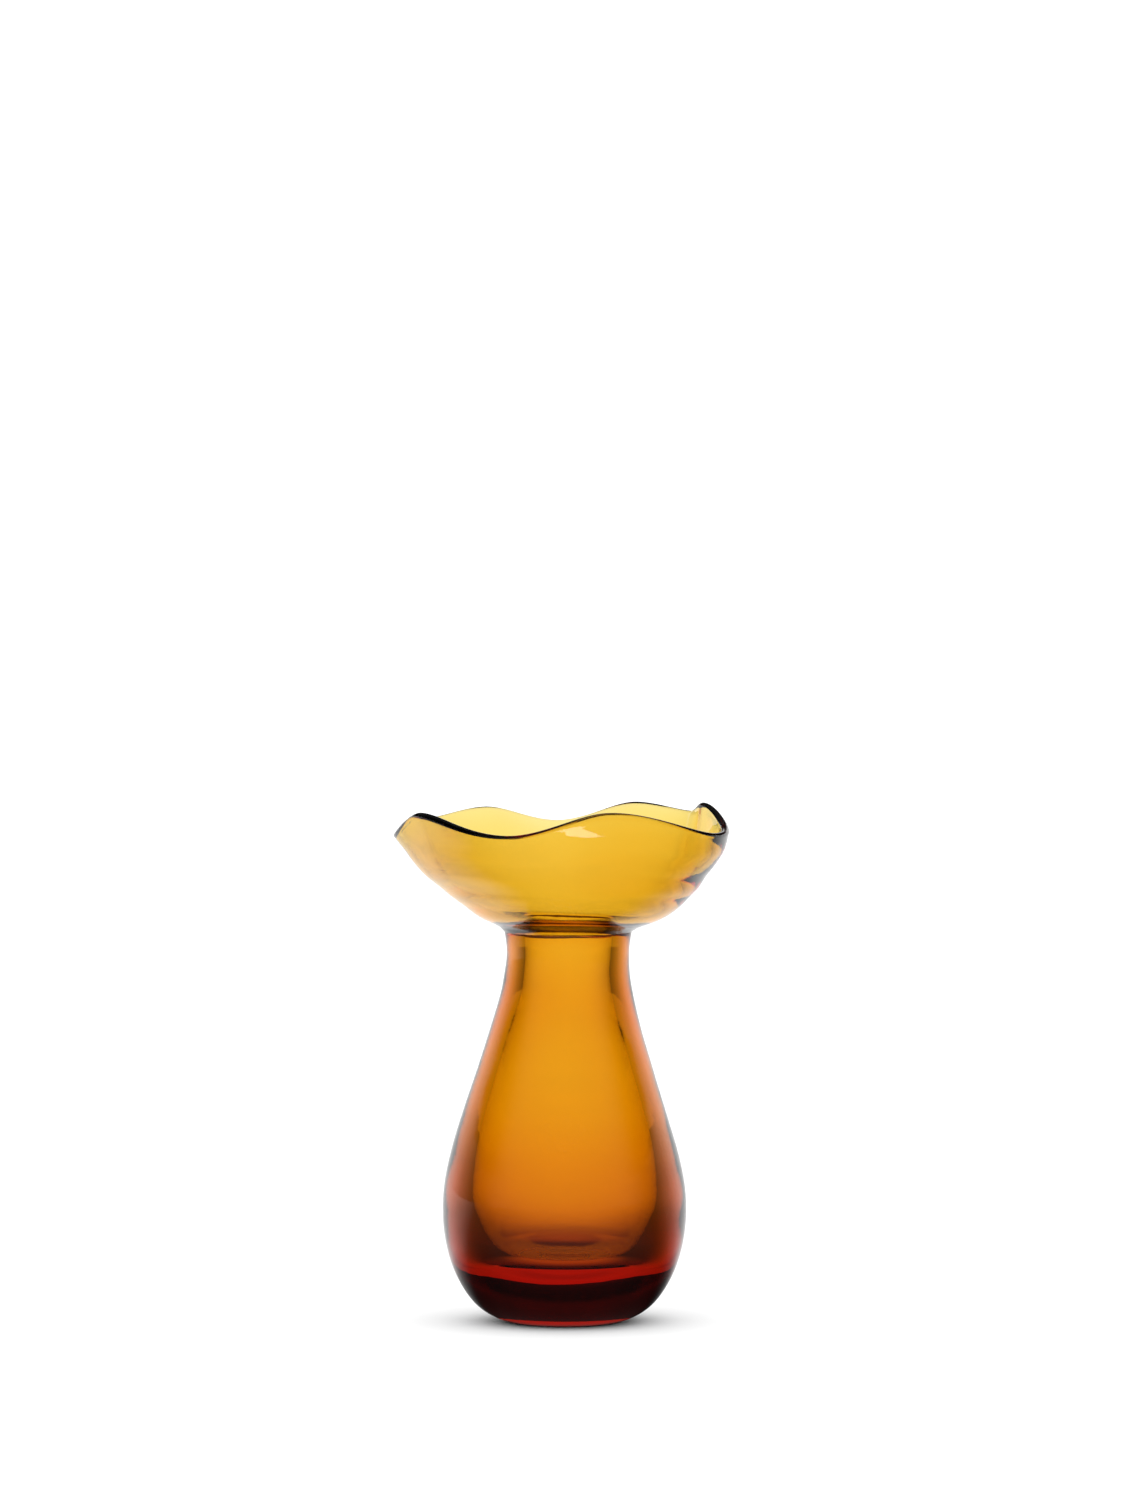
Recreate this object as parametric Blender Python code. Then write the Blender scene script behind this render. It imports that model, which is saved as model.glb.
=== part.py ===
"""Mouth-blown glass bud vase: heavy pear-shaped body, seal ring, ruffled bowl, punty wafer.

The vase is worked hot from four gathers of glass. Each gather is turned here as
its own closed solid about the vase's axis, then pushed out of true the way
the glass was: the neck leans a little, the bowl sits off the neck, and the
bowl's rim is pulled into uneven waves.

Frame: metres, +Z up. The origin is the middle of the foot, on the surface the
vase stands on. -Y is the front.
"""
import math

import bmesh
import bpy
from mathutils import Vector

MM = 0.001

# ---------------------------------------------------------------- dimensions
GAP = 0.3                     # between neighbouring gathers, mm

NECK_TOP = 103.6              # top of the body's neck
SEAL_HEIGHT = 1.7             # seal ring between neck and bowl
SEAL_OUTSIDE = [(17.1, 0.0), (17.9, 0.5), (18.8, 1.1), (20.1, SEAL_HEIGHT)]   # radius, height above its foot
BORE_RADIUS = 11.6            # bore through neck, seal ring and bowl
BOWL_FOOT = NECK_TOP + GAP + SEAL_HEIGHT + GAP

FOOT_RADIUS = 14.1            # outer edge of the flat the vase stands on
KICK_RADIUS = 8.8             # shallow kick in the middle of the foot
KICK_DEPTH = 1.9
FLOOR_THICKNESS = 15.3        # solid glass under the cavity

WAFER_RADIUS = 8.0            # punty wafer in the kick
WAFER_THICKNESS = 1.2

LIP_RADIUS = 1.25             # the rim's fire-polished edge
RIM_RADIUS = 44.1             # the rim before it is ruffled, outside
RIM_HEIGHT = 133.6

# (radius, height) stations of the turned profiles
BODY_OUTSIDE = [
    (FOOT_RADIUS, 0.0), (17.7, 0.9), (22.9, 4.0), (27.7, 10.2), (31.0, 18.5),
    (32.4, 29.5), (31.1, 41.5), (26.7, 57.0), (22.1, 71.5), (18.5, 84.0),
    (16.7, 93.0), (16.4, 99.5), (16.9, NECK_TOP),
]
BODY_CAVITY = [
    (BORE_RADIUS, NECK_TOP), (11.5, 97.0), (12.2, 86.5), (16.2, 72.5),
    (20.3, 59.0), (23.4, 46.0), (24.6, 33.8), (23.9, 28.0), (22.0, 22.6),
    (19.0, 18.4), (15.0, 17.1), (10.0, 16.2), (5.0, 15.5), (0.0, FLOOR_THICKNESS),
]
BOWL_OUTSIDE = [
    (20.8, BOWL_FOOT), (24.6, 107.6), (28.6, 110.5), (32.6, 114.1),
    (36.4, 118.2), (39.9, 122.8), (42.4, 127.6), (RIM_RADIUS, RIM_HEIGHT - LIP_RADIUS),
]
BOWL_INSIDE = [
    (41.7, RIM_HEIGHT - 0.9), (39.8, 128.7), (37.4, 124.4), (34.0, 120.2),
    (30.4, 116.3), (26.6, 112.9), (23.1, 110.2), (19.3, 108.5), (15.8, 107.8),
    (13.3, 107.3), (12.0, 106.6), (BORE_RADIUS, BOWL_FOOT),
]

# The ruffled rim: (azimuth in degrees, outside radius, height) at each crest
# and each dip. Azimuth 0 is +X, 270 is the front.
RIM_WAVES = [
    (0, 43.9, 132.3), (24, 42.4, 137.0), (37, 43.8, 134.4), (61, 42.6, 136.2),
    (92, 45.0, 130.9), (120, 43.1, 134.9), (140, 43.8, 133.0), (177, 45.0, 129.8),
    (208, 42.4, 136.3), (251, 45.8, 131.5), (287, 43.0, 137.3), (339, 44.9, 130.8),
]
WAVE_START = 107.0            # height where the waves begin
WAVE_POWER = 2.1              # how late they grow towards the rim
RIDGE = (208.0, 0.8, 10.0)    # pinched ridge: azimuth, proud, spread in degrees

# How far each height's centre lies from the axis, along X: (height, offset)
NECK_LEAN = [(50.0, 0.0), (75.0, 0.25), (90.0, 0.65), (99.0, 0.95), (BOWL_FOOT, 1.0)]
BOWL_LEAN = [(BOWL_FOOT, 2.1), (110.0, 2.2), (114.7, 1.6), (120.0, 0.6), (126.0, 0.6), (134.0, -0.4)]

JOINT_START = 103.6           # where the outside starts moving over to the bowl's lean
JOINT_LENGTH = 3.0

BODY_SEGMENTS = 48
SEAL_SEGMENTS = 48
BOWL_SEGMENTS = 76
WAFER_SEGMENTS = 28

AMBER = (0.86, 0.42, 0.03, 1.0)
AMBER_DEEP = (0.74, 0.30, 0.02, 1.0)
AMBER_PALE = (0.93, 0.56, 0.07, 1.0)


# ------------------------------------------------------------------ geometry
def spline(stations, per_span):
    """Points along a natural cubic through the stations, which it meets exactly."""
    pts = [Vector(p) for p in stations]
    n = len(pts)
    step = [math.sqrt((pts[i + 1] - pts[i]).length) for i in range(n - 1)]
    zero = Vector((0.0, 0.0))
    # Thomas algorithm for the second derivatives, which are zero at both ends
    upper, right = [0.0] * n, [zero.copy() for _ in range(n)]
    for i in range(1, n - 1):
        slope = (pts[i + 1] - pts[i]) / step[i] - (pts[i] - pts[i - 1]) / step[i - 1]
        pivot = 2 * (step[i - 1] + step[i]) - step[i - 1] * upper[i - 1]
        upper[i] = step[i] / pivot
        right[i] = (6 * slope - step[i - 1] * right[i - 1]) / pivot
    bend = [zero.copy() for _ in range(n)]
    for i in range(n - 2, 0, -1):
        bend[i] = right[i] - upper[i] * bend[i + 1]
    line = []
    for i in range(n - 1):
        h = step[i]
        for k in range(per_span):
            b = k / per_span * h
            a = h - b
            line.append(
                bend[i] * a**3 / (6 * h) + bend[i + 1] * b**3 / (6 * h)
                + (pts[i] / h - bend[i] * h / 6) * a
                + (pts[i + 1] / h - bend[i + 1] * h / 6) * b
            )
    line.append(pts[-1].copy())
    return line


def thin_out(line, spacing):
    """Keep the ends and the points of a line that are about one spacing apart."""
    kept, run = [line[0]], 0.0
    for before, point in zip(line, line[1:]):
        run += (point - before).length
        if run >= spacing:
            kept.append(point)
            run = 0.0
    if (kept[-1] - line[-1]).length < 0.4 * spacing:
        kept.pop()
    kept.append(line[-1])
    return kept


def arc(centre, radius, start, stop, steps):
    """Points on an arc in the profile plane, without its two ends. Degrees."""
    out = []
    for k in range(1, steps):
        a = math.radians(start + (stop - start) * k / steps)
        out.append(Vector((centre[0] + radius * math.cos(a), centre[1] + radius * math.sin(a))))
    return out


def lip(outer_end, inner_end, steps):
    """The half-round edge that joins the outside of the wall to its inside."""
    middle = (outer_end + inner_end) / 2
    radius = (outer_end - inner_end).length / 2
    start = math.degrees(math.atan2(outer_end.y - middle.y, outer_end.x - middle.x))
    return arc(middle, radius, start, start + 180.0, steps)


def along(table, height):
    """Offset at a height, eased between the table's rows."""
    if height <= table[0][0]:
        return table[0][1]
    for (z0, v0), (z1, v1) in zip(table, table[1:]):
        if height <= z1:
            u = (height - z0) / (z1 - z0)
            return v0 + (v1 - v0) * u * u * (3 - 2 * u)
    return table[-1][1]


def wave(azimuth):
    """The rim's outside radius and height at an azimuth, through RIM_WAVES."""
    a = azimuth % 360.0
    rows = RIM_WAVES
    n = len(rows)
    i = max(k for k in range(n) if rows[k][0] <= a)

    def row(k):
        turn, j = divmod(k, n)
        return (rows[j][0] + 360.0 * turn, rows[j][1], rows[j][2])

    p0, p1, p2, p3 = row(i - 1), row(i), row(i + 1), row(i + 2)
    span = p2[0] - p1[0]
    u = (a - p1[0]) / span
    out = []
    for c in (1, 2):
        # cubic Hermite; the slope at each station follows its two neighbours
        m1 = (p2[c] - p0[c]) / (p2[0] - p0[0]) * span
        m2 = (p3[c] - p1[c]) / (p3[0] - p1[0]) * span
        if (p2[c] - p1[c]) * (p1[c] - p0[c]) <= 0:
            m1 = 0.0
        if (p3[c] - p2[c]) * (p2[c] - p1[c]) <= 0:
            m2 = 0.0
        out.append(
            (2 * u**3 - 3 * u**2 + 1) * p1[c] + (u**3 - 2 * u**2 + u) * m1
            + (3 * u**2 - 2 * u**3) * p2[c] + (u**3 - u**2) * m2
        )
    return out


def ridge(azimuth):
    """How far the pinched ridge stands proud at an azimuth."""
    middle, proud, spread = RIDGE
    away = (azimuth - middle + 180.0) % 360.0 - 180.0
    return proud * math.exp(-(math.sqrt(away * away + 36.0) - 6.0) / spread)


# -------------------------------------------------------------------- solids
def glass(name, colour):
    material = bpy.data.materials.new(name)
    material.use_nodes = True
    shader = material.node_tree.nodes["Principled BSDF"]
    shader.inputs["Base Color"].default_value = colour
    shader.inputs["Roughness"].default_value = 0.02
    shader.inputs["Metallic"].default_value = 0.0
    shader.inputs["IOR"].default_value = 1.5
    shader.inputs["Transmission Weight"].default_value = 1.0
    return material


def turned(name, profile, segments, colour, push):
    """Spin a closed profile (radius, height in mm) about Z, then push each vertex."""
    bm = bmesh.new()
    verts = [bm.verts.new((p.x * MM, 0.0, p.y * MM)) for p in profile]
    edges = [bm.edges.new((a, b)) for a, b in zip(verts, verts[1:])]
    if profile[0].x > 1e-6 or profile[-1].x > 1e-6:
        edges.append(bm.edges.new((verts[-1], verts[0])))
    bmesh.ops.spin(
        bm, geom=verts + edges, cent=(0, 0, 0), axis=(0, 0, 1), dvec=(0, 0, 0),
        angle=2 * math.pi, steps=segments, use_merge=True, use_duplicate=False,
    )
    bmesh.ops.remove_doubles(bm, verts=bm.verts, dist=1e-6)
    bmesh.ops.dissolve_degenerate(bm, edges=bm.edges, dist=1e-7)
    for v in bm.verts:
        r = math.hypot(v.co.x, v.co.y) / MM
        azimuth = math.degrees(math.atan2(v.co.y, v.co.x))
        x, y, z = push(r, azimuth, v.co.z / MM)
        v.co = (x * MM, y * MM, z * MM)
    bmesh.ops.recalc_face_normals(bm, faces=bm.faces)
    mesh = bpy.data.meshes.new(name)
    bm.to_mesh(mesh)
    bm.free()
    mesh.shade_smooth()
    mesh.set_sharp_from_angle(angle=math.radians(40))
    mesh.materials.append(glass(name, colour))
    obj = bpy.data.objects.new(name, mesh)
    bpy.context.collection.objects.link(obj)
    return obj


def ease(u):
    u = max(0.0, min(1.0, u))
    return u * u * (3 - 2 * u)


def offset(z, share):
    """Along X: the neck's lean at share 0, the bowl's at share 1."""
    return along(NECK_LEAN, z) * (1 - share) + along(BOWL_LEAN, z) * share


def lean_neck(r, azimuth, z):
    """The bore follows the neck; the outside moves over to meet the bowl."""
    a = math.radians(azimuth)
    share = ease((z - JOINT_START) / JOINT_LENGTH) if r > BORE_RADIUS + 2.0 else 0.0
    return r * math.cos(a) + offset(z, share), r * math.sin(a), z


def ruffle(r, azimuth, z):
    """Push a point of the plain bowl to where the waves, ridge and lean take it."""
    grow = max(0.0, (z - WAVE_START) / (RIM_HEIGHT - WAVE_START))
    radius, height = wave(azimuth)
    late, early = grow**WAVE_POWER, grow**1.3
    out = r + late * (radius - RIM_RADIUS) + early * ridge(azimuth)
    a = math.radians(azimuth)
    # the bowl's outside sits off the neck, but its throat stays on the bore
    shift = offset(z, ease((r - BORE_RADIUS - 0.3) / 9.0))
    return out * math.cos(a) + shift, out * math.sin(a), z + late * (height - RIM_HEIGHT)


def build():
    for obj in list(bpy.data.objects):
        bpy.data.objects.remove(obj, do_unlink=True)

    # Body: from the middle of the kick out over the foot, up the outside to the
    # neck's rim, and down the cavity to the middle of its floor.
    kick = [Vector((0.0, KICK_DEPTH)), Vector((KICK_RADIUS - 1.2, KICK_DEPTH)), Vector((KICK_RADIUS, 0.0))]
    outside = thin_out(spline(BODY_OUTSIDE, 12), 4.6)
    cavity = thin_out(spline(BODY_CAVITY, 12), 5.2)
    turned("body", kick + outside + cavity, BODY_SEGMENTS, AMBER_DEEP, lean_neck)

    # Punty wafer: the ground-off end of the gather that held the vase while its
    # rim was worked. It lies in the kick and stays clear of the table.
    top = KICK_DEPTH - GAP
    low = top - WAFER_THICKNESS
    wafer = [
        Vector((0.0, low)), Vector((WAFER_RADIUS - 0.6, low)),
        Vector((WAFER_RADIUS - 0.2, low + 0.35)), Vector((WAFER_RADIUS - 0.9, top)),
        Vector((0.0, top)),
    ]
    turned("punty_wafer", wafer, WAFER_SEGMENTS, AMBER_DEEP, lean_neck)

    # Seal ring: a thin gather between the neck and the bowl, flaring into the bowl
    foot, head = NECK_TOP + GAP, NECK_TOP + GAP + SEAL_HEIGHT
    flare = [Vector((r, foot + h)) for r, h in SEAL_OUTSIDE]
    ring = [Vector((BORE_RADIUS, foot))] + flare + [Vector((BORE_RADIUS, head))]
    turned("seal_ring", ring, SEAL_SEGMENTS, AMBER, lean_neck)

    # Bowl: up the outside, round the lip, and down the inside to the throat
    outside = thin_out(spline(BOWL_OUTSIDE, 12), 3.4)
    inside = thin_out(spline(BOWL_INSIDE, 12), 3.4)
    bowl = outside + lip(outside[-1], inside[0], 4) + inside
    turned("bowl", bowl, BOWL_SEGMENTS, AMBER_PALE, ruffle)


build()
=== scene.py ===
"""Amber glass bud vase: fine glass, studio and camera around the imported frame."""
import math

import bmesh
import bpy
import numpy as np
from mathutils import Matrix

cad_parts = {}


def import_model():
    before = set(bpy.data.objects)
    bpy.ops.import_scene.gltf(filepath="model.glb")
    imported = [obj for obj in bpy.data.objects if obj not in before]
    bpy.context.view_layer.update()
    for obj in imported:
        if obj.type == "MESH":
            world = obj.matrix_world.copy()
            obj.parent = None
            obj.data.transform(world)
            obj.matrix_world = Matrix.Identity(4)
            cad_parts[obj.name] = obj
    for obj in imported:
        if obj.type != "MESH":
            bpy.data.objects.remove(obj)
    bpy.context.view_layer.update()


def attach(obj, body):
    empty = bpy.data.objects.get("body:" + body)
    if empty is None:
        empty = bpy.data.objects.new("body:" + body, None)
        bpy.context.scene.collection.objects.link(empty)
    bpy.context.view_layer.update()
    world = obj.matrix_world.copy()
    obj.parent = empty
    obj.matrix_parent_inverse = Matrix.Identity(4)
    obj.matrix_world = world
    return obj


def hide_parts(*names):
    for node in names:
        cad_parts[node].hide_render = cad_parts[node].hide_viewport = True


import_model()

MM = 0.001

# ------------------------------------------------------------------ dimensions
# The same design sizes as the CAD model, in millimetres.
NECK_TOP = 103.6
SEAL_HEIGHT = 1.7
GAP = 0.3
BOWL_FOOT = NECK_TOP + GAP + SEAL_HEIGHT + GAP
SEAM_LOW = NECK_TOP + GAP / 2          # where the body's glass meets the seal ring's
SEAM_HIGH = BOWL_FOOT - GAP / 2        # where the seal ring's meets the bowl's
HAIR = 0.01                            # half the hairline between fused pieces
BORE_RADIUS = 11.6
FOOT_RADIUS = 14.1
KICK_RADIUS = 8.8
KICK_DEPTH = 1.9
FLOOR_THICKNESS = 15.3
WAFER_RADIUS = 7.6
LIP_RADIUS = 1.25
RIM_RADIUS = 44.1
RIM_HEIGHT = 133.6

BODY_OUTSIDE = [
    (FOOT_RADIUS, 0.0), (17.7, 0.9), (22.9, 4.0), (27.7, 10.2), (31.0, 18.5),
    (32.4, 29.5), (31.1, 41.5), (26.7, 57.0), (22.1, 71.5), (18.5, 84.0),
    (16.7, 93.0), (16.4, 99.5), (16.9, NECK_TOP),
]
SEAL_OUTSIDE = [(16.95, SEAM_LOW), (18.6, 104.95), (20.75, BOWL_FOOT)]   # springs sharply from the neck
BOWL_OUTSIDE = [
    (20.8, BOWL_FOOT), (24.6, 107.6), (28.6, 110.5), (32.6, 114.1),
    (36.4, 118.2), (39.9, 122.8), (42.4, 127.6), (RIM_RADIUS, RIM_HEIGHT - LIP_RADIUS),
]
BOWL_INSIDE = [
    (41.7, RIM_HEIGHT - 0.9), (39.8, 128.7), (37.4, 124.4), (34.0, 120.2),
    (30.4, 116.3), (26.6, 112.9), (23.1, 110.2), (19.3, 108.5), (15.8, 107.8),
    (13.3, 107.3), (12.0, 106.6), (BORE_RADIUS, BOWL_FOOT),
]
BODY_CAVITY = [
    (BORE_RADIUS, NECK_TOP), (11.5, 97.0), (12.2, 86.5), (16.2, 72.5),
    (20.3, 59.0), (23.4, 46.0), (24.6, 33.8), (23.9, 28.0), (22.0, 22.6),
    (19.0, 18.4), (15.0, 17.1), (10.0, 16.2), (5.0, 15.5), (0.0, FLOOR_THICKNESS),
]
RIM_WAVES = [
    (0, 43.9, 132.3), (24, 42.4, 137.0), (37, 43.8, 134.4), (61, 42.6, 136.2),
    (92, 45.0, 130.9), (120, 43.1, 134.9), (140, 43.8, 133.0), (177, 45.0, 129.8),
    (208, 42.4, 136.3), (251, 45.8, 131.5), (287, 43.0, 137.3), (339, 44.9, 130.8),
]
WAVE_START = 107.0
WAVE_POWER = 2.1
RIDGE = (208.0, 0.8, 10.0)
NECK_LEAN = [(50.0, 0.0), (75.0, 0.25), (90.0, 0.65), (99.0, 0.95), (BOWL_FOOT, 1.0)]
BOWL_LEAN = [(BOWL_FOOT, 2.1), (110.0, 2.2), (114.7, 1.6), (120.0, 0.6), (126.0, 0.6), (134.0, -0.4)]

AROUND = 320         # points round the vase
SPACING = 0.55       # along the profile, mm


# ------------------------------------------------------------------- profiles
def spline(stations, per_span=40):
    """Points along a natural cubic through the stations, as an (n, 2) array."""
    pts = np.array(stations, float)
    n = len(pts)
    step = np.sqrt(np.linalg.norm(np.diff(pts, axis=0), axis=1))
    upper, right, bend = np.zeros(n), np.zeros((n, 2)), np.zeros((n, 2))
    for i in range(1, n - 1):
        slope = (pts[i + 1] - pts[i]) / step[i] - (pts[i] - pts[i - 1]) / step[i - 1]
        pivot = 2 * (step[i - 1] + step[i]) - step[i - 1] * upper[i - 1]
        upper[i] = step[i] / pivot
        right[i] = (6 * slope - step[i - 1] * right[i - 1]) / pivot
    for i in range(n - 2, 0, -1):
        bend[i] = right[i] - upper[i] * bend[i + 1]
    line = []
    for i in range(n - 1):
        h = step[i]
        for k in range(per_span):
            b = k / per_span * h
            a = h - b
            line.append(
                bend[i] * a**3 / (6 * h) + bend[i + 1] * b**3 / (6 * h)
                + (pts[i] / h - bend[i] * h / 6) * a + (pts[i + 1] / h - bend[i + 1] * h / 6) * b
            )
    line.append(pts[-1])
    return np.array(line)


def even(line, spacing):
    """The same line with its points an even spacing apart, ends kept."""
    run = np.r_[0.0, np.cumsum(np.linalg.norm(np.diff(line, axis=0), axis=1))]
    count = max(2, int(round(run[-1] / spacing)) + 1)
    at = np.linspace(0.0, run[-1], count)
    return np.stack([np.interp(at, run, line[:, 0]), np.interp(at, run, line[:, 1])], 1)


def lip(outer_end, inner_end, steps):
    """The half-round edge from the outside of the wall over to its inside."""
    middle = (outer_end + inner_end) / 2
    radius = np.linalg.norm(outer_end - inner_end) / 2
    start = math.atan2(outer_end[1] - middle[1], outer_end[0] - middle[0])
    a = start + math.pi * np.arange(1, steps) / steps
    return middle + radius * np.stack([np.cos(a), np.sin(a)], 1)


def along(table, height):
    """Offsets at an array of heights, eased between the table's rows."""
    z = np.asarray(height, float)
    out = np.full_like(z, table[0][1])
    for (z0, v0), (z1, v1) in zip(table, table[1:]):
        u = np.clip((z - z0) / (z1 - z0), 0, 1)
        out += (v1 - v0) * u * u * (3 - 2 * u)
    return out


def wave(azimuth):
    """The rim's outside radius and height at an array of azimuths in degrees."""
    rows = np.array(RIM_WAVES, float)
    n = len(rows)
    a = np.mod(azimuth, 360.0)
    i = np.searchsorted(rows[:, 0], a, side="right") - 1

    def row(k):
        turn = np.floor_divide(k, n)
        j = k - turn * n
        r = rows[j].copy()
        r[..., 0] += 360.0 * turn
        return r

    p0, p1, p2, p3 = row(i - 1), row(i), row(i + 1), row(i + 2)
    span = p2[..., 0] - p1[..., 0]
    u = (a - p1[..., 0]) / span
    out = []
    for c in (1, 2):
        m1 = (p2[..., c] - p0[..., c]) / (p2[..., 0] - p0[..., 0]) * span
        m2 = (p3[..., c] - p1[..., c]) / (p3[..., 0] - p1[..., 0]) * span
        m1 = np.where((p2[..., c] - p1[..., c]) * (p1[..., c] - p0[..., c]) <= 0, 0.0, m1)
        m2 = np.where((p3[..., c] - p2[..., c]) * (p2[..., c] - p1[..., c]) <= 0, 0.0, m2)
        out.append(
            (2 * u**3 - 3 * u**2 + 1) * p1[..., c] + (u**3 - 2 * u**2 + u) * m1
            + (3 * u**2 - 2 * u**3) * p2[..., c] + (u**3 - u**2) * m2
        )
    return out


def ridge(azimuth):
    middle, proud, spread = RIDGE
    away = np.mod(azimuth - middle + 180.0, 360.0) - 180.0
    return proud * np.exp(-(np.sqrt(away * away + 36.0) - 6.0) / spread)


def hand(azimuth, z, seed):
    """Slight unevenness left by hand and breath: a few long soft waves, mm."""
    a = np.radians(azimuth)
    return (
        0.045 * np.sin(2 * a + 0.7 * seed + z * 0.05)
        + 0.030 * np.sin(3 * a - 1.3 * seed + z * 0.09)
        + 0.018 * np.sin(5 * a + 2.1 * seed - z * 0.16)
        + 0.012 * np.sin(z * 0.55 + 1.7 * seed + 1.2 * np.sin(a + seed))
    )


def push(r, azimuth, z, inside):
    """Take turned points to where the lean and the waves put them."""
    a = np.radians(azimuth)
    throat = np.clip(np.where(inside, np.where(z > NECK_TOP, (r - BORE_RADIUS - 0.3) / 9.0, 0), (z - 103.6) / 3.0), 0, 1)
    throat = throat * throat * (3 - 2 * throat)
    shift = along(NECK_LEAN, z) * (1 - throat) + along(BOWL_LEAN, z) * throat
    grow = np.clip((z - WAVE_START) / (RIM_HEIGHT - WAVE_START), 0, None)
    radius, height = wave(azimuth)
    late, early = grow**WAVE_POWER, grow**1.3
    out = r + late * (radius - RIM_RADIUS) + early * ridge(azimuth)
    return out * np.cos(a) + shift, out * np.sin(a), z + late * (height - RIM_HEIGHT)


# ------------------------------------------------------------- the whole skin
def skin():
    """The vase's whole surface as one grid: rows along the profile, columns
    round it. Also the row numbers of the two seams, outside and inside."""
    kick = np.array([(0.0, KICK_DEPTH), (KICK_RADIUS - 1.3, KICK_DEPTH), (KICK_RADIUS - 0.35, KICK_DEPTH - 0.8),
                     (KICK_RADIUS, 0.12), (KICK_RADIUS + 0.25, 0.0)])
    foot = np.array([(KICK_RADIUS + 0.25, 0.0), (FOOT_RADIUS, 0.0)])
    lower = [even(kick[:2], SPACING)[:-1], even(kick[1:], 0.2)[:-1], even(foot, SPACING)[:-1]]
    stem = spline(BODY_OUTSIDE[:-1] + [SEAL_OUTSIDE[0]])
    outside = spline(SEAL_OUTSIDE + BOWL_OUTSIDE[1:])
    inside = spline(BOWL_INSIDE + [(BORE_RADIUS, NECK_TOP)] + BODY_CAVITY[1:])

    def cut(line, top, bottom):
        """The part of a line between two heights, with points exactly on both."""
        up = line if line[-1, 1] > line[0, 1] else line[::-1]
        keep = up[(up[:, 1] > bottom + 0.02) & (up[:, 1] < top - 0.02)]
        ends = [np.array([[np.interp(z, up[:, 1], up[:, 0]), z]]) for z in (bottom, top)]
        part = np.vstack([ends[0], keep, ends[1]])
        return part if up is line else part[::-1]

    below, between, above = cut(stem, SEAM_LOW, 0.0), cut(outside, SEAM_HIGH, SEAM_LOW), cut(outside, outside[-1, 1], SEAM_HIGH)
    down, through, cavity = cut(inside, inside[0, 1], SEAM_HIGH), cut(inside, SEAM_HIGH, SEAM_LOW), cut(inside, SEAM_LOW, inside[-1, 1])
    edge = lip(outside[-1], inside[0], 17)
    parts = lower + [even(below, SPACING), even(between, 0.3)[1:], even(above, SPACING)[1:], edge,
                     even(down, SPACING), even(through, 0.3)[1:], even(cavity, SPACING)[1:]]
    rows = np.vstack(parts)
    ends = np.cumsum([len(p) for p in parts])
    seams = {"low_out": ends[3] - 1, "high_out": ends[4] - 1, "high_in": ends[7] - 1, "low_in": ends[8] - 1}
    azimuth = np.arange(AROUND) * 360.0 / AROUND
    R, Z = np.repeat(rows[:, :1], AROUND, 1), np.repeat(rows[:, 1:], AROUND, 1)
    A = np.repeat(azimuth[None], len(rows), 0)
    index = np.arange(len(rows))[:, None]
    within = index > ends[6] - len(edge) // 2
    calm = np.clip((Z - 6.0) / 8.0, 0, 1) * np.clip(R / 12.0, 0, 1)
    near_seam = np.clip(np.abs(Z - 104.7) / 4.0, 0, 1)
    R = R + calm * near_seam * hand(A, Z, 1.0 * within + 0.4)
    P = np.stack(push(R, A, Z, within), -1)
    return P * MM, seams


def normals_of(P):
    """Outward normals of the grid, from its tangents along and round."""
    around = np.roll(P, -1, 1) - np.roll(P, 1, 1)
    along_ = np.empty_like(P)
    along_[1:-1] = P[2:] - P[:-2]
    along_[0], along_[-1] = P[1] - P[0], P[-1] - P[-2]
    N = np.cross(around, along_)
    length = np.linalg.norm(N, axis=-1, keepdims=True)
    N = N / np.maximum(length, 1e-12)
    N[0], N[-1] = (0, 0, -1), (0, 0, 1)
    return N


def mesh_from(name, verts, faces, normals, seam):
    """Blender mesh with exact smooth normals; seam faces keep their own flat ones."""
    mesh = bpy.data.meshes.new(name)
    mesh.from_pydata([tuple(v) for v in verts], [], faces)
    mesh.update()
    mark = mesh.attributes.new("seam", "FLOAT", "FACE")
    mark.data.foreach_set("value", np.asarray(seam, np.float32))
    loop_vert = np.empty(len(mesh.loops), np.int32)
    mesh.loops.foreach_get("vertex_index", loop_vert)
    split = np.asarray(normals)[loop_vert]
    for poly, s in zip(mesh.polygons, seam):
        if s:
            split[poly.loop_start:poly.loop_start + poly.loop_total] = poly.normal
    mesh.shade_smooth()
    mesh.normals_split_custom_set([tuple(n) for n in split])
    return mesh


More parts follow.
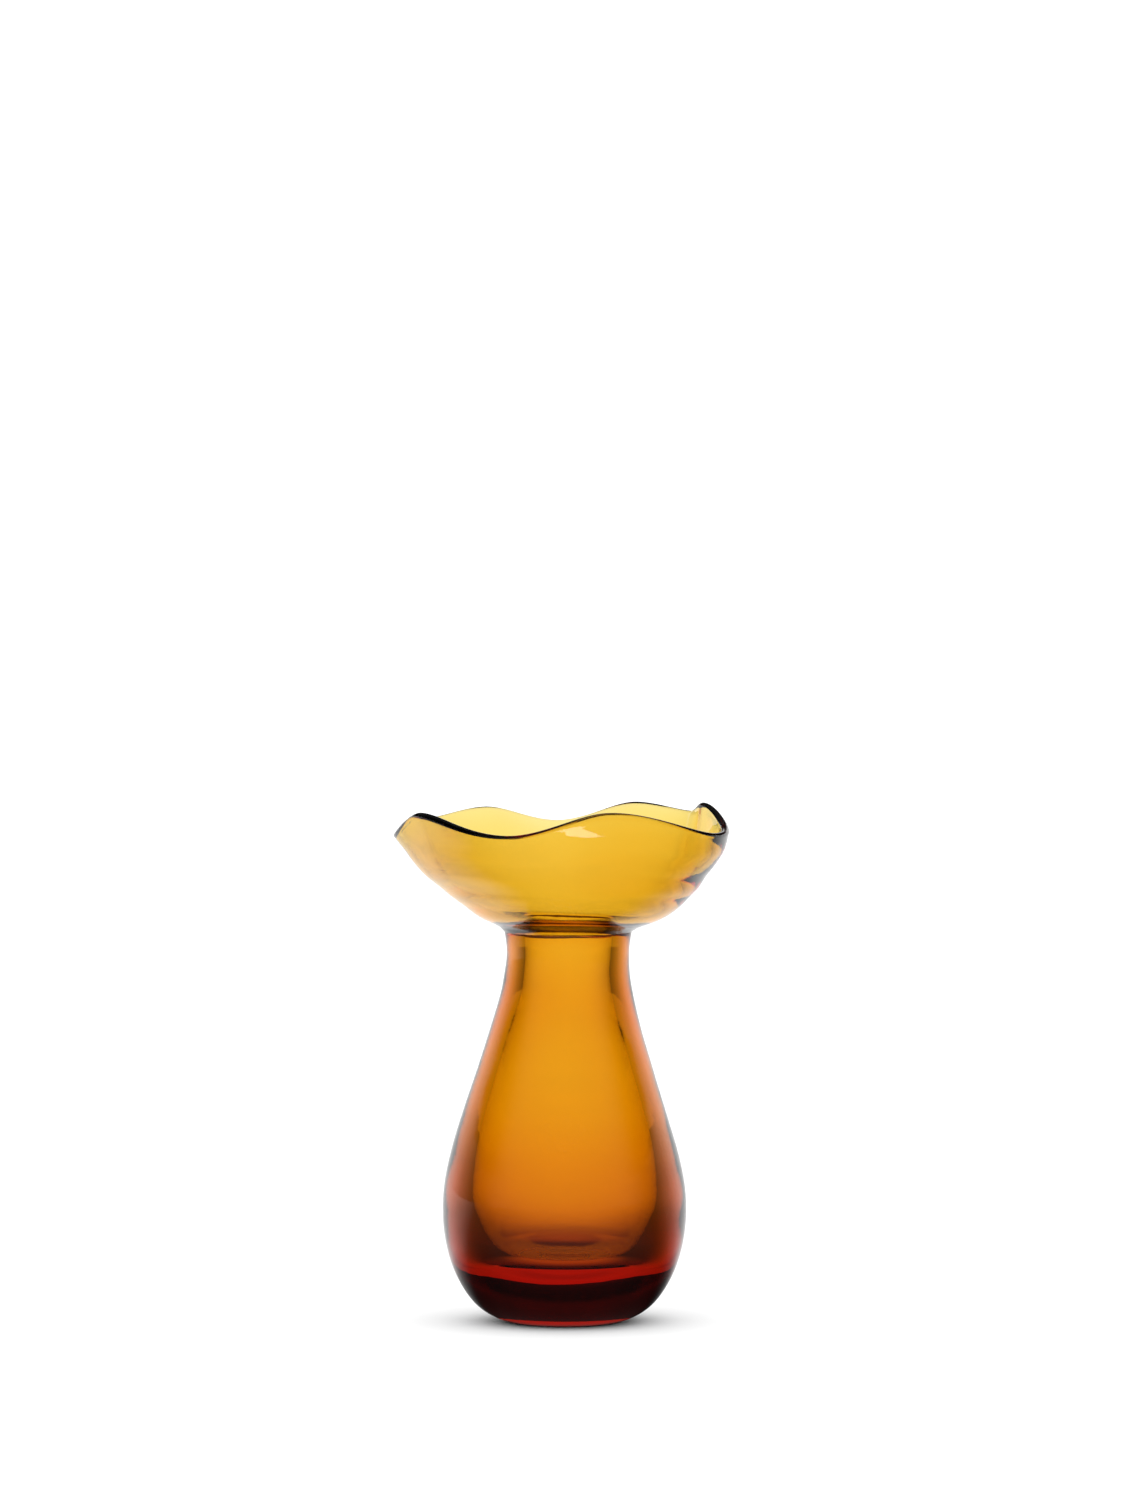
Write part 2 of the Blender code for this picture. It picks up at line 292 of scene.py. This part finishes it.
def band(name, P, N, first, last, second_first=None, second_last=None):
    """A piece from one run of the skin's rows, or from two runs (outside and
    inside) joined by seams. Rings at the cuts are pulled apart by a hair."""
    runs = [(first, last)] + ([(second_first, second_last)] if second_first is not None else [])
    verts, normals, faces, seam, rings = [], [], [], [], []
    cols = P.shape[1]
    for lo, hi in runs:
        number = []
        for i in range(lo, hi + 1):
            ring = P[i]
            if np.ptp(ring, axis=0).max() < 1e-7:
                number.append(np.full(cols, len(verts)))
                verts.append(ring[0].copy())
                normals.append(N[i, 0])
            else:
                number.append(np.arange(cols) + len(verts))
                verts.extend(v.copy() for v in ring)
                normals.extend(N[i])
        for i0, (a, b) in enumerate(zip(number, number[1:]), lo):
            an, bn = np.roll(a, -1), np.roll(b, -1)
            for j in range(cols):
                quad = [int(a[j]), int(an[j]), int(bn[j]), int(b[j])]
                face = []
                for v in quad:
                    if v not in face:
                        face.append(v)
                faces.append(face)
                ring = P[i0 + 1, j]
                seam.append(int(ring[2] > (KICK_DEPTH - 0.01) * MM and ring[2] < (KICK_DEPTH + 0.01) * MM
                                and math.hypot(ring[0], ring[1]) < 0.92 * WAFER_RADIUS * MM))
        rings.append((number[0], number[-1]))

    def join(a, b, shift):
        """Close the piece from ring a to ring b with seam faces, shifted along Z."""
        for v in set(a.tolist()) | set(b.tolist()):
            verts[v][2] += shift * MM
        an, bn = np.roll(a, -1), np.roll(b, -1)
        for j in range(cols):
            faces.append([int(a[j]), int(an[j]), int(bn[j]), int(b[j])])
            seam.append(1)

    if len(runs) == 1:
        join(rings[0][1], rings[0][0], HAIR)          # bowl: its foot
    elif first == 0:
        join(rings[0][1], rings[1][0], -HAIR)         # body: its neck
    else:
        join(rings[0][1], rings[1][0], -HAIR)         # ring: top
        join(rings[1][1], rings[0][0], HAIR)          # ring: bottom
    return mesh_from(name, verts, faces, np.array(normals), seam)


# ------------------------------------------------------------------- materials
ABSORB = (20.0, 103.0, 540.0)   # what a metre of this amber takes off red, green and blue


def amber(name, streak=1.0, ground=0.0, tint=(1.0, 0.985, 0.95)):
    """Clear amber glass, worn or ground matt up to a height of ground mm."""
    m = bpy.data.materials.new(name)
    m.use_nodes = True
    nt = m.node_tree
    nodes, links = nt.nodes, nt.links
    p = nodes["Principled BSDF"]
    out = nodes["Material Output"]
    p.inputs["Transmission Weight"].default_value = 1.0
    p.inputs["IOR"].default_value = 1.5
    where = nodes.new("ShaderNodeTexCoord")
    stretch = nodes.new("ShaderNodeMapping")
    stretch.inputs["Scale"].default_value = (1.0, 1.0, 3.2)
    links.new(where.outputs["Object"], stretch.inputs["Vector"])
    # cords: faint streaks of glass that didn't melt together, wound round the piece
    cords = nodes.new("ShaderNodeTexNoise")
    cords.inputs["Scale"].default_value = 42.0
    cords.inputs["Detail"].default_value = 3.0
    cords.inputs["Distortion"].default_value = 0.6
    links.new(stretch.outputs[0], cords.inputs["Vector"])
    shade = nodes.new("ShaderNodeValToRGB")
    shade.color_ramp.elements[0].position = 0.3
    shade.color_ramp.elements[0].color = (*[c * 0.985 for c in tint], 1)
    shade.color_ramp.elements[1].position = 0.6
    shade.color_ramp.elements[1].color = (*tint, 1)
    links.new(cords.outputs["Fac"], shade.inputs[0])
    links.new(shade.outputs[0], p.inputs["Base Color"])
    # roughness: fire-polished, with a trace of handling
    film = nodes.new("ShaderNodeTexNoise")
    film.inputs["Scale"].default_value = 160.0
    film.inputs["Detail"].default_value = 2.0
    links.new(where.outputs["Object"], film.inputs["Vector"])
    rough = nodes.new("ShaderNodeMapRange")
    rough.inputs["From Min"].default_value = 0.45
    rough.inputs["From Max"].default_value = 0.8
    rough.inputs["To Min"].default_value = 0.0
    rough.inputs["To Max"].default_value = 0.03
    links.new(film.outputs["Fac"], rough.inputs["Value"])
    if ground:
        height = nodes.new("ShaderNodeSeparateXYZ")
        links.new(where.outputs["Object"], height.inputs[0])
        worn = nodes.new("ShaderNodeMapRange")
        worn.inputs["From Min"].default_value = (ground - 0.2) * MM
        worn.inputs["From Max"].default_value = ground * MM
        worn.inputs["To Min"].default_value = 0.5
        worn.inputs["To Max"].default_value = 0.0
        links.new(height.outputs[2], worn.inputs["Value"])
        both = nodes.new("ShaderNodeMath")
        both.operation = "ADD"
        links.new(rough.outputs[0], both.inputs[0])
        links.new(worn.outputs[0], both.inputs[1])
        links.new(both.outputs[0], p.inputs["Roughness"])
    else:
        links.new(rough.outputs[0], p.inputs["Roughness"])
    # seams between fused pieces bend no light
    seam = nodes.new("ShaderNodeAttribute")
    seam.attribute_name = "seam"
    fuse = nodes.new("ShaderNodeMath")
    fuse.operation = "MULTIPLY_ADD"
    fuse.inputs[1].default_value = -0.5
    fuse.inputs[2].default_value = 1.5
    links.new(seam.outputs["Fac"], fuse.inputs[0])
    links.new(fuse.outputs[0], p.inputs["IOR"])
    # surface: the faintest ripple
    ripple = nodes.new("ShaderNodeBump")
    ripple.inputs["Strength"].default_value = 0.12 * streak
    ripple.inputs["Distance"].default_value = 0.0006
    links.new(cords.outputs["Fac"], ripple.inputs["Height"])
    links.new(ripple.outputs[0], p.inputs["Normal"])
    absorb = nodes.new("ShaderNodeVolumeAbsorption")
    most = max(ABSORB)
    absorb.inputs["Color"].default_value = (*[1 - a / most for a in ABSORB], 1)
    absorb.inputs["Density"].default_value = most
    links.new(absorb.outputs[0], out.inputs["Volume"])
    return m


def add(name, mesh, material, node):
    mesh.materials.append(material)
    obj = bpy.data.objects.new(name, mesh)
    bpy.context.scene.collection.objects.link(obj)
    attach(obj, "root")
    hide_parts(node)
    return obj


# ------------------------------------------------------------------ the pieces
P, seams = skin()
N = normals_of(P)
last = len(P) - 1
thick = amber("thick_amber_glass", 0.6, 0.3)
thin = amber("thin_amber_glass", 1.0)
N_below, N_above = N.copy(), N.copy()      # the outside creases where neck and seal ring meet
crease = seams["low_out"]
N_below[crease], N_above[crease] = N[crease - 1], N[crease + 1]
add("vase_body", band("vase_body", P, N_below, 0, seams["low_out"], seams["low_in"], last), thick, "body")
add("vase_seal_ring", band("vase_seal_ring", P, N_above, seams["low_out"], seams["high_out"], seams["high_in"], seams["low_in"]),
    thin, "seal_ring")
bowl = add("vase_bowl", band("vase_bowl", P, N, seams["high_out"], seams["high_in"]), thin, "bowl")


# ----------------------------------------------------------------- punty wafer
def wafer():
    """The ground stub of the punty, fused to the middle of the kick."""
    cols = 96
    a = np.arange(cols) * 2 * math.pi / cols
    edge = WAFER_RADIUS * (1 - 0.05 + 0.04 * np.sin(3 * a + 1) + 0.025 * np.sin(7 * a) + 0.02 * np.sin(13 * a + 2)
                           + 0.012 * np.sin(23 * a + 0.5))
    rows = [(0.0, 0.75), (0.2, 0.74), (0.4, 0.72), (0.6, 0.70), (0.78, 0.68), (0.9, 0.72), (0.97, 0.86), (1.0, 1.15),
            (0.985, 1.5), (0.95, KICK_DEPTH - 2 * HAIR), (0.6, KICK_DEPTH - 2 * HAIR), (0.3, KICK_DEPTH - 2 * HAIR), (0.0, KICK_DEPTH - 2 * HAIR)]
    bm = bmesh.new()
    rings = []
    for share, z in rows:
        if share == 0.0:
            rings.append([bm.verts.new((0, 0, z * MM))])
            continue
        ring = []
        for k in range(cols):
            r = edge[k] * share
            grind = 0.05 * math.sin(9 * a[k] + 5 * share) * math.sin(4 * a[k] - 7 * share) if z < 0.8 else 0.0
            ring.append(bm.verts.new((r * math.cos(a[k]) * MM, r * math.sin(a[k]) * MM, (z + grind) * MM)))
        rings.append(ring)
    faces = []
    for k, (lo, hi) in enumerate(zip(rings, rings[1:])):
        for j in range(cols):
            j2 = (j + 1) % cols
            if len(lo) == 1:
                f = bm.faces.new((lo[0], hi[j], hi[j2]))
            elif len(hi) == 1:
                f = bm.faces.new((lo[j], hi[0], lo[j2]))
            else:
                f = bm.faces.new((lo[j], hi[j], hi[j2], lo[j2]))
            faces.append(k)
    bmesh.ops.recalc_face_normals(bm, faces=bm.faces)
    mesh = bpy.data.meshes.new("vase_punty_wafer")
    bm.to_mesh(mesh)
    bm.free()
    mark = mesh.attributes.new("seam", "FLOAT", "FACE")
    for f in mesh.polygons:
        mark.data[f.index].value = 1.0 if f.center.z > (KICK_DEPTH - 0.05) * MM else 0.0
    mesh.shade_smooth()
    mesh.set_sharp_from_angle(angle=math.radians(38))
    return mesh


add("vase_punty_wafer", wafer(), amber("ground_amber_glass", 1.0, 1.2), "punty_wafer")


# ---------------------------------------------------------------------- studio
# A bright sheet stands behind the vase and the room falls away to dark beside
# and above it. The sheet, the floor and the air read plain white on their own.
BEHIND = [  # degrees away from straight behind, light
    (0, 1.17), (10, 1.11), (20, 0.98), (30, 0.85), (40, 0.77), (50, 0.68), (60, 0.58), (75, 0.46), (100, 0.36), (140, 0.40), (180, 0.50),
]
RISE = [  # degrees above the horizon, share of that light
    (0, 1.0), (11, 1.0), (14, 0.6), (17, 0.03), (22, 0.01), (26, 0.06), (35, 0.05), (50, 0.08), (70, 0.15), (90, 0.2),
]
# The floor as the glass shows it, through the glass and mirrored on it: painted light, with a painted shadow beneath
# and round the vase.
FLOOR_ROUND = [(0, 1.17), (10, 1.12), (20, 0.98), (30, 0.80), (40, 0.58), (50, 0.42), (60, 0.29), (75, 0.18), (110, 0.14), (180, 0.15)]
SHADOW_UNDER = [(-26, 0.55), (-20, 0.60), (-15, 0.45), (-10, 0.30), (-5, 0.17), (0, 0.13), (26, 0.13)]   # painted shadow beneath the vase, by mm towards the back
# painted shade: the floor seen through the glass is darker close round the vase, by metres out from its middle
FLOOR_SHADE_OUT = [(0.0, 0.40), (0.024, 0.40), (0.030, 0.45), (0.041, 0.50), (0.06, 0.66), (0.094, 0.80), (0.12, 0.88), (0.19, 0.95), (0.3, 1.0), (0.5, 1.0)]
SHINE_ROUND = [(0, 1.12), (38, 1.1), (46, 0.95), (55, 0.70), (64, 0.40), (72, 0.22), (80, 0.09), (92, 0.04), (105, 0.07), (125, 0.13), (150, 0.18), (180, 0.20)]
SHINE_LEFT = [(0, 1.12), (40, 1.15), (50, 1.10), (60, 0.95), (68, 0.75), (75, 0.55), (83, 0.28), (92, 0.08), (105, 0.07), (125, 0.13), (150, 0.18), (180, 0.20)]
# painted shade: the mirrored floor is darker close round the vase, by metres out from its middle
SHINE_SHADE_OUT = [(0.0, 0.22), (0.026, 0.24), (0.036, 0.30), (0.050, 0.42), (0.075, 0.75), (0.11, 1.0), (0.5, 1.0)]
FRONT = 0.2                            # the dim room in front of the vase, as mirrored on it
AHEAD = 0.45                           # the same room, through the glass


class Graph:
    """Small helper for wiring shader maths."""

    def __init__(self, tree):
        self.nodes, self.links = tree.nodes, tree.links

    def new(self, kind, **values):
        n = self.nodes.new(kind)
        for k, v in values.items():
            setattr(n, k, v)
        return n

    def put(self, socket, value):
        if isinstance(value, (int, float)):
            socket.default_value = value
        else:
            self.links.new(value, socket)

    def maths(self, kind, *values, clamp=False):
        n = self.new("ShaderNodeMath", operation=kind, use_clamp=clamp)
        for s, v in zip(n.inputs, values):
            self.put(s, v)
        return n.outputs[0]

    def table(self, rows, source, top):
        """A smooth curve through rows of (place, value), read at source / top."""
        n = self.new("ShaderNodeFloatCurve")
        most = max(v for _, v in rows)
        curve = n.mapping.curves[0]
        while len(curve.points) < len(rows):
            curve.points.new(0.5, 0.5)
        for point, (a, v) in zip(curve.points, rows):
            point.location = (a / top, v / most)
            point.handle_type = "AUTO_CLAMPED"
        n.mapping.extend = "HORIZONTAL"
        n.mapping.update()
        self.put(n.inputs["Value"], self.maths("DIVIDE", source, float(top)))
        return self.maths("MULTIPLY", n.outputs[0], most)


def azimuth_from_behind(g, x, y):
    return g.maths("MULTIPLY", g.maths("ARCTAN2", g.maths("ABSOLUTE", x), y), 180 / math.pi)


def floor():
    bm = bmesh.new()
    bmesh.ops.create_circle(bm, cap_ends=True, cap_tris=False, segments=96, radius=12.0)
    mesh = bpy.data.meshes.new("floor")
    bm.to_mesh(mesh)
    bm.free()
    m = bpy.data.materials.new("floor")
    m.use_nodes = True
    nt = m.node_tree
    nt.nodes.clear()
    g = Graph(nt)
    out = g.new("ShaderNodeOutputMaterial")
    paper = g.new("ShaderNodeBsdfDiffuse")
    paper.inputs["Color"].default_value = (0.92, 0.92, 0.92, 1)
    # glass rays see painted light here, not the lit floor: an emission that paints the floor's light and the vase's
    # shadow round it; only camera rays see the lit paper
    painted_light = g.new("ShaderNodeEmission")
    painted_light.inputs["Color"].default_value = (1, 1, 1, 1)
    split = g.new("ShaderNodeSeparateXYZ")
    g.put(split.inputs[0], g.new("ShaderNodeTexCoord").outputs["Object"])
    x, y = split.outputs[0], split.outputs[1]
    far = g.maths("SQRT", g.maths("ADD", g.maths("MULTIPLY", x, x), g.maths("MULTIPLY", y, y)))
    azimuth = azimuth_from_behind(g, x, y)
    through = g.maths("MULTIPLY", g.table(FLOOR_ROUND, azimuth, 180), g.table(FLOOR_SHADE_OUT, far, 0.5))
    # painted shadow: the floor under the vase drawn dark, as glass rays see it
    painted_shadow = g.table([(a + 26, v) for a, v in SHADOW_UNDER], g.maths("MULTIPLY_ADD", y, 1000.0, 26.0), 52)
    clear = g.new("ShaderNodeMapRange", interpolation_type="SMOOTHSTEP")
    clear.inputs["From Min"].default_value, clear.inputs["From Max"].default_value = 0.024, 0.029
    g.put(clear.inputs["Value"], far)
    through = g.maths("ADD", painted_shadow, g.maths("MULTIPLY", clear.outputs[0], g.maths("SUBTRACT", through, painted_shadow)))
    ahead = g.new("ShaderNodeMapRange", interpolation_type="SMOOTHSTEP")
    ahead.inputs["From Min"].default_value, ahead.inputs["From Max"].default_value = 80.0, 120.0
    g.put(ahead.inputs["Value"], azimuth)
    open_floor = g.new("ShaderNodeMapRange", interpolation_type="SMOOTHSTEP")
    open_floor.inputs["From Min"].default_value, open_floor.inputs["From Max"].default_value = 0.05, 0.16
    g.put(open_floor.inputs["Value"], far)
    share = g.maths("MULTIPLY", ahead.outputs[0], open_floor.outputs[0])
    through = g.maths("ADD", through, g.maths("MULTIPLY", share, g.maths("SUBTRACT", AHEAD, through)))
    left = g.new("ShaderNodeMapRange", interpolation_type="SMOOTHSTEP")
    left.inputs["From Min"].default_value, left.inputs["From Max"].default_value = 0.02, -0.02
    g.put(left.inputs["Value"], x)
    lit, lit_left = g.table(SHINE_ROUND, azimuth, 180), g.table(SHINE_LEFT, azimuth, 180)
    lit = g.maths("ADD", lit, g.maths("MULTIPLY", left.outputs[0], g.maths("SUBTRACT", lit_left, lit)))
    shine = g.maths("MULTIPLY", lit, g.table(SHINE_SHADE_OUT, far, 0.5))
    seen = g.new("ShaderNodeLightPath")
    passed = seen.outputs["Is Transmission Ray"]
    g.put(painted_light.inputs["Strength"], g.maths("ADD", shine, g.maths("MULTIPLY", passed, g.maths("SUBTRACT", through, shine))))
    mix = g.new("ShaderNodeMixShader")
    g.put(mix.inputs[0], seen.outputs["Is Camera Ray"])
    g.put(mix.inputs[1], painted_light.outputs[0])
    g.put(mix.inputs[2], paper.outputs[0])
    g.put(out.inputs["Surface"], mix.outputs[0])
    mesh.materials.append(m)
    obj = bpy.data.objects.new("floor", mesh)
    obj.location.z = -0.00006
    bpy.context.scene.collection.objects.link(obj)


def world():
    w = bpy.data.worlds.new("studio")
    bpy.context.scene.world = w
    w.use_nodes = True
    nt = w.node_tree
    back = nt.nodes["Background"]
    g = Graph(nt)
    split = g.new("ShaderNodeSeparateXYZ")
    g.put(split.inputs[0], g.new("ShaderNodeTexCoord").outputs["Generated"])
    x, y, z = split.outputs
    azimuth = azimuth_from_behind(g, x, y)
    path = g.new("ShaderNodeLightPath")
    turn, mirrored = g.table(BEHIND, azimuth, 180), g.table(SHINE_ROUND, azimuth, 180)
    turn = g.maths("ADD", mirrored, g.maths("MULTIPLY", path.outputs["Is Transmission Ray"], g.maths("SUBTRACT", turn, mirrored)))
    lift = g.table(RISE, g.maths("MULTIPLY", g.maths("ARCSINE", g.maths("ABSOLUTE", z)), 180 / math.pi), 90)
    field = g.maths("MULTIPLY", turn, lift)
    front = g.new("ShaderNodeMapRange", interpolation_type="SMOOTHSTEP")
    front.inputs["From Min"].default_value, front.inputs["From Max"].default_value = 95.0, 125.0
    g.put(front.inputs["Value"], azimuth)
    room = g.maths("MULTIPLY_ADD", path.outputs["Is Transmission Ray"], AHEAD - FRONT, FRONT)
    field = g.maths("ADD", field, g.maths("MULTIPLY", front.outputs[0], g.maths("SUBTRACT", room, field)))
    seen = path.outputs["Is Camera Ray"]
    level = g.maths("ADD", g.maths("MULTIPLY", seen, 1.1), g.maths("MULTIPLY", g.maths("SUBTRACT", 1.0, seen), field))
    g.put(back.inputs["Strength"], level)
    back.inputs["Color"].default_value = (1, 1, 1, 1)


def daylight(strength, spread):
    """Even soft light from overhead, for the floor; the glass doesn't show it."""
    light = bpy.data.lights.new("overhead", "SUN")
    light.energy = strength
    light.angle = math.radians(spread)
    obj = bpy.data.objects.new("overhead", light)
    obj.visible_transmission = False
    obj.visible_glossy = False
    bpy.context.scene.collection.objects.link(obj)


def card(name, middle, size, turn, light, shown_by):
    """A small lit card lying in front of the vase; only the given piece mirrors it."""
    lamp = bpy.data.lights.new(name, "AREA")
    lamp.shape = "RECTANGLE"
    lamp.size, lamp.size_y = size
    lamp.energy = light * size[0] * size[1] * math.pi
    obj = bpy.data.objects.new(name, lamp)
    obj.location = (middle[0], middle[1], 0.0005)
    obj.rotation_euler = (math.pi, 0.0, math.radians(turn))
    obj.visible_camera = False
    obj.visible_transmission = False
    bpy.context.scene.collection.objects.link(obj)
    group = bpy.data.collections.new(name + "_shown_by")
    group.objects.link(shown_by)
    obj.light_linking.receiver_collection = group


def camera():
    cam = bpy.data.cameras.new("camera")
    cam.lens = 208.3
    cam.sensor_width = 36.0
    cam.clip_start, cam.clip_end = 0.05, 60.0
    obj = bpy.data.objects.new("camera", cam)
    obj.location = (-0.0005, -2.30, 0.262)
    obj.rotation_euler = (math.radians(90.0 - 2.738), 0.0, 0.0)
    bpy.context.scene.collection.objects.link(obj)
    bpy.context.scene.camera = obj


floor()
world()
daylight(4.4, 150.0)
card("card", (0.117, -0.266), (0.09, 0.055), -28.0, 5.0, bowl)
camera()

scene = bpy.context.scene
scene.view_settings.view_transform = "Standard"
scene.view_settings.look = "None"
scene.cycles.max_bounces = 24
scene.cycles.transmission_bounces = 24
scene.cycles.glossy_bounces = 12
scene.cycles.transparent_max_bounces = 32
scene.cycles.caustics_refractive = False
scene.cycles.caustics_reflective = False
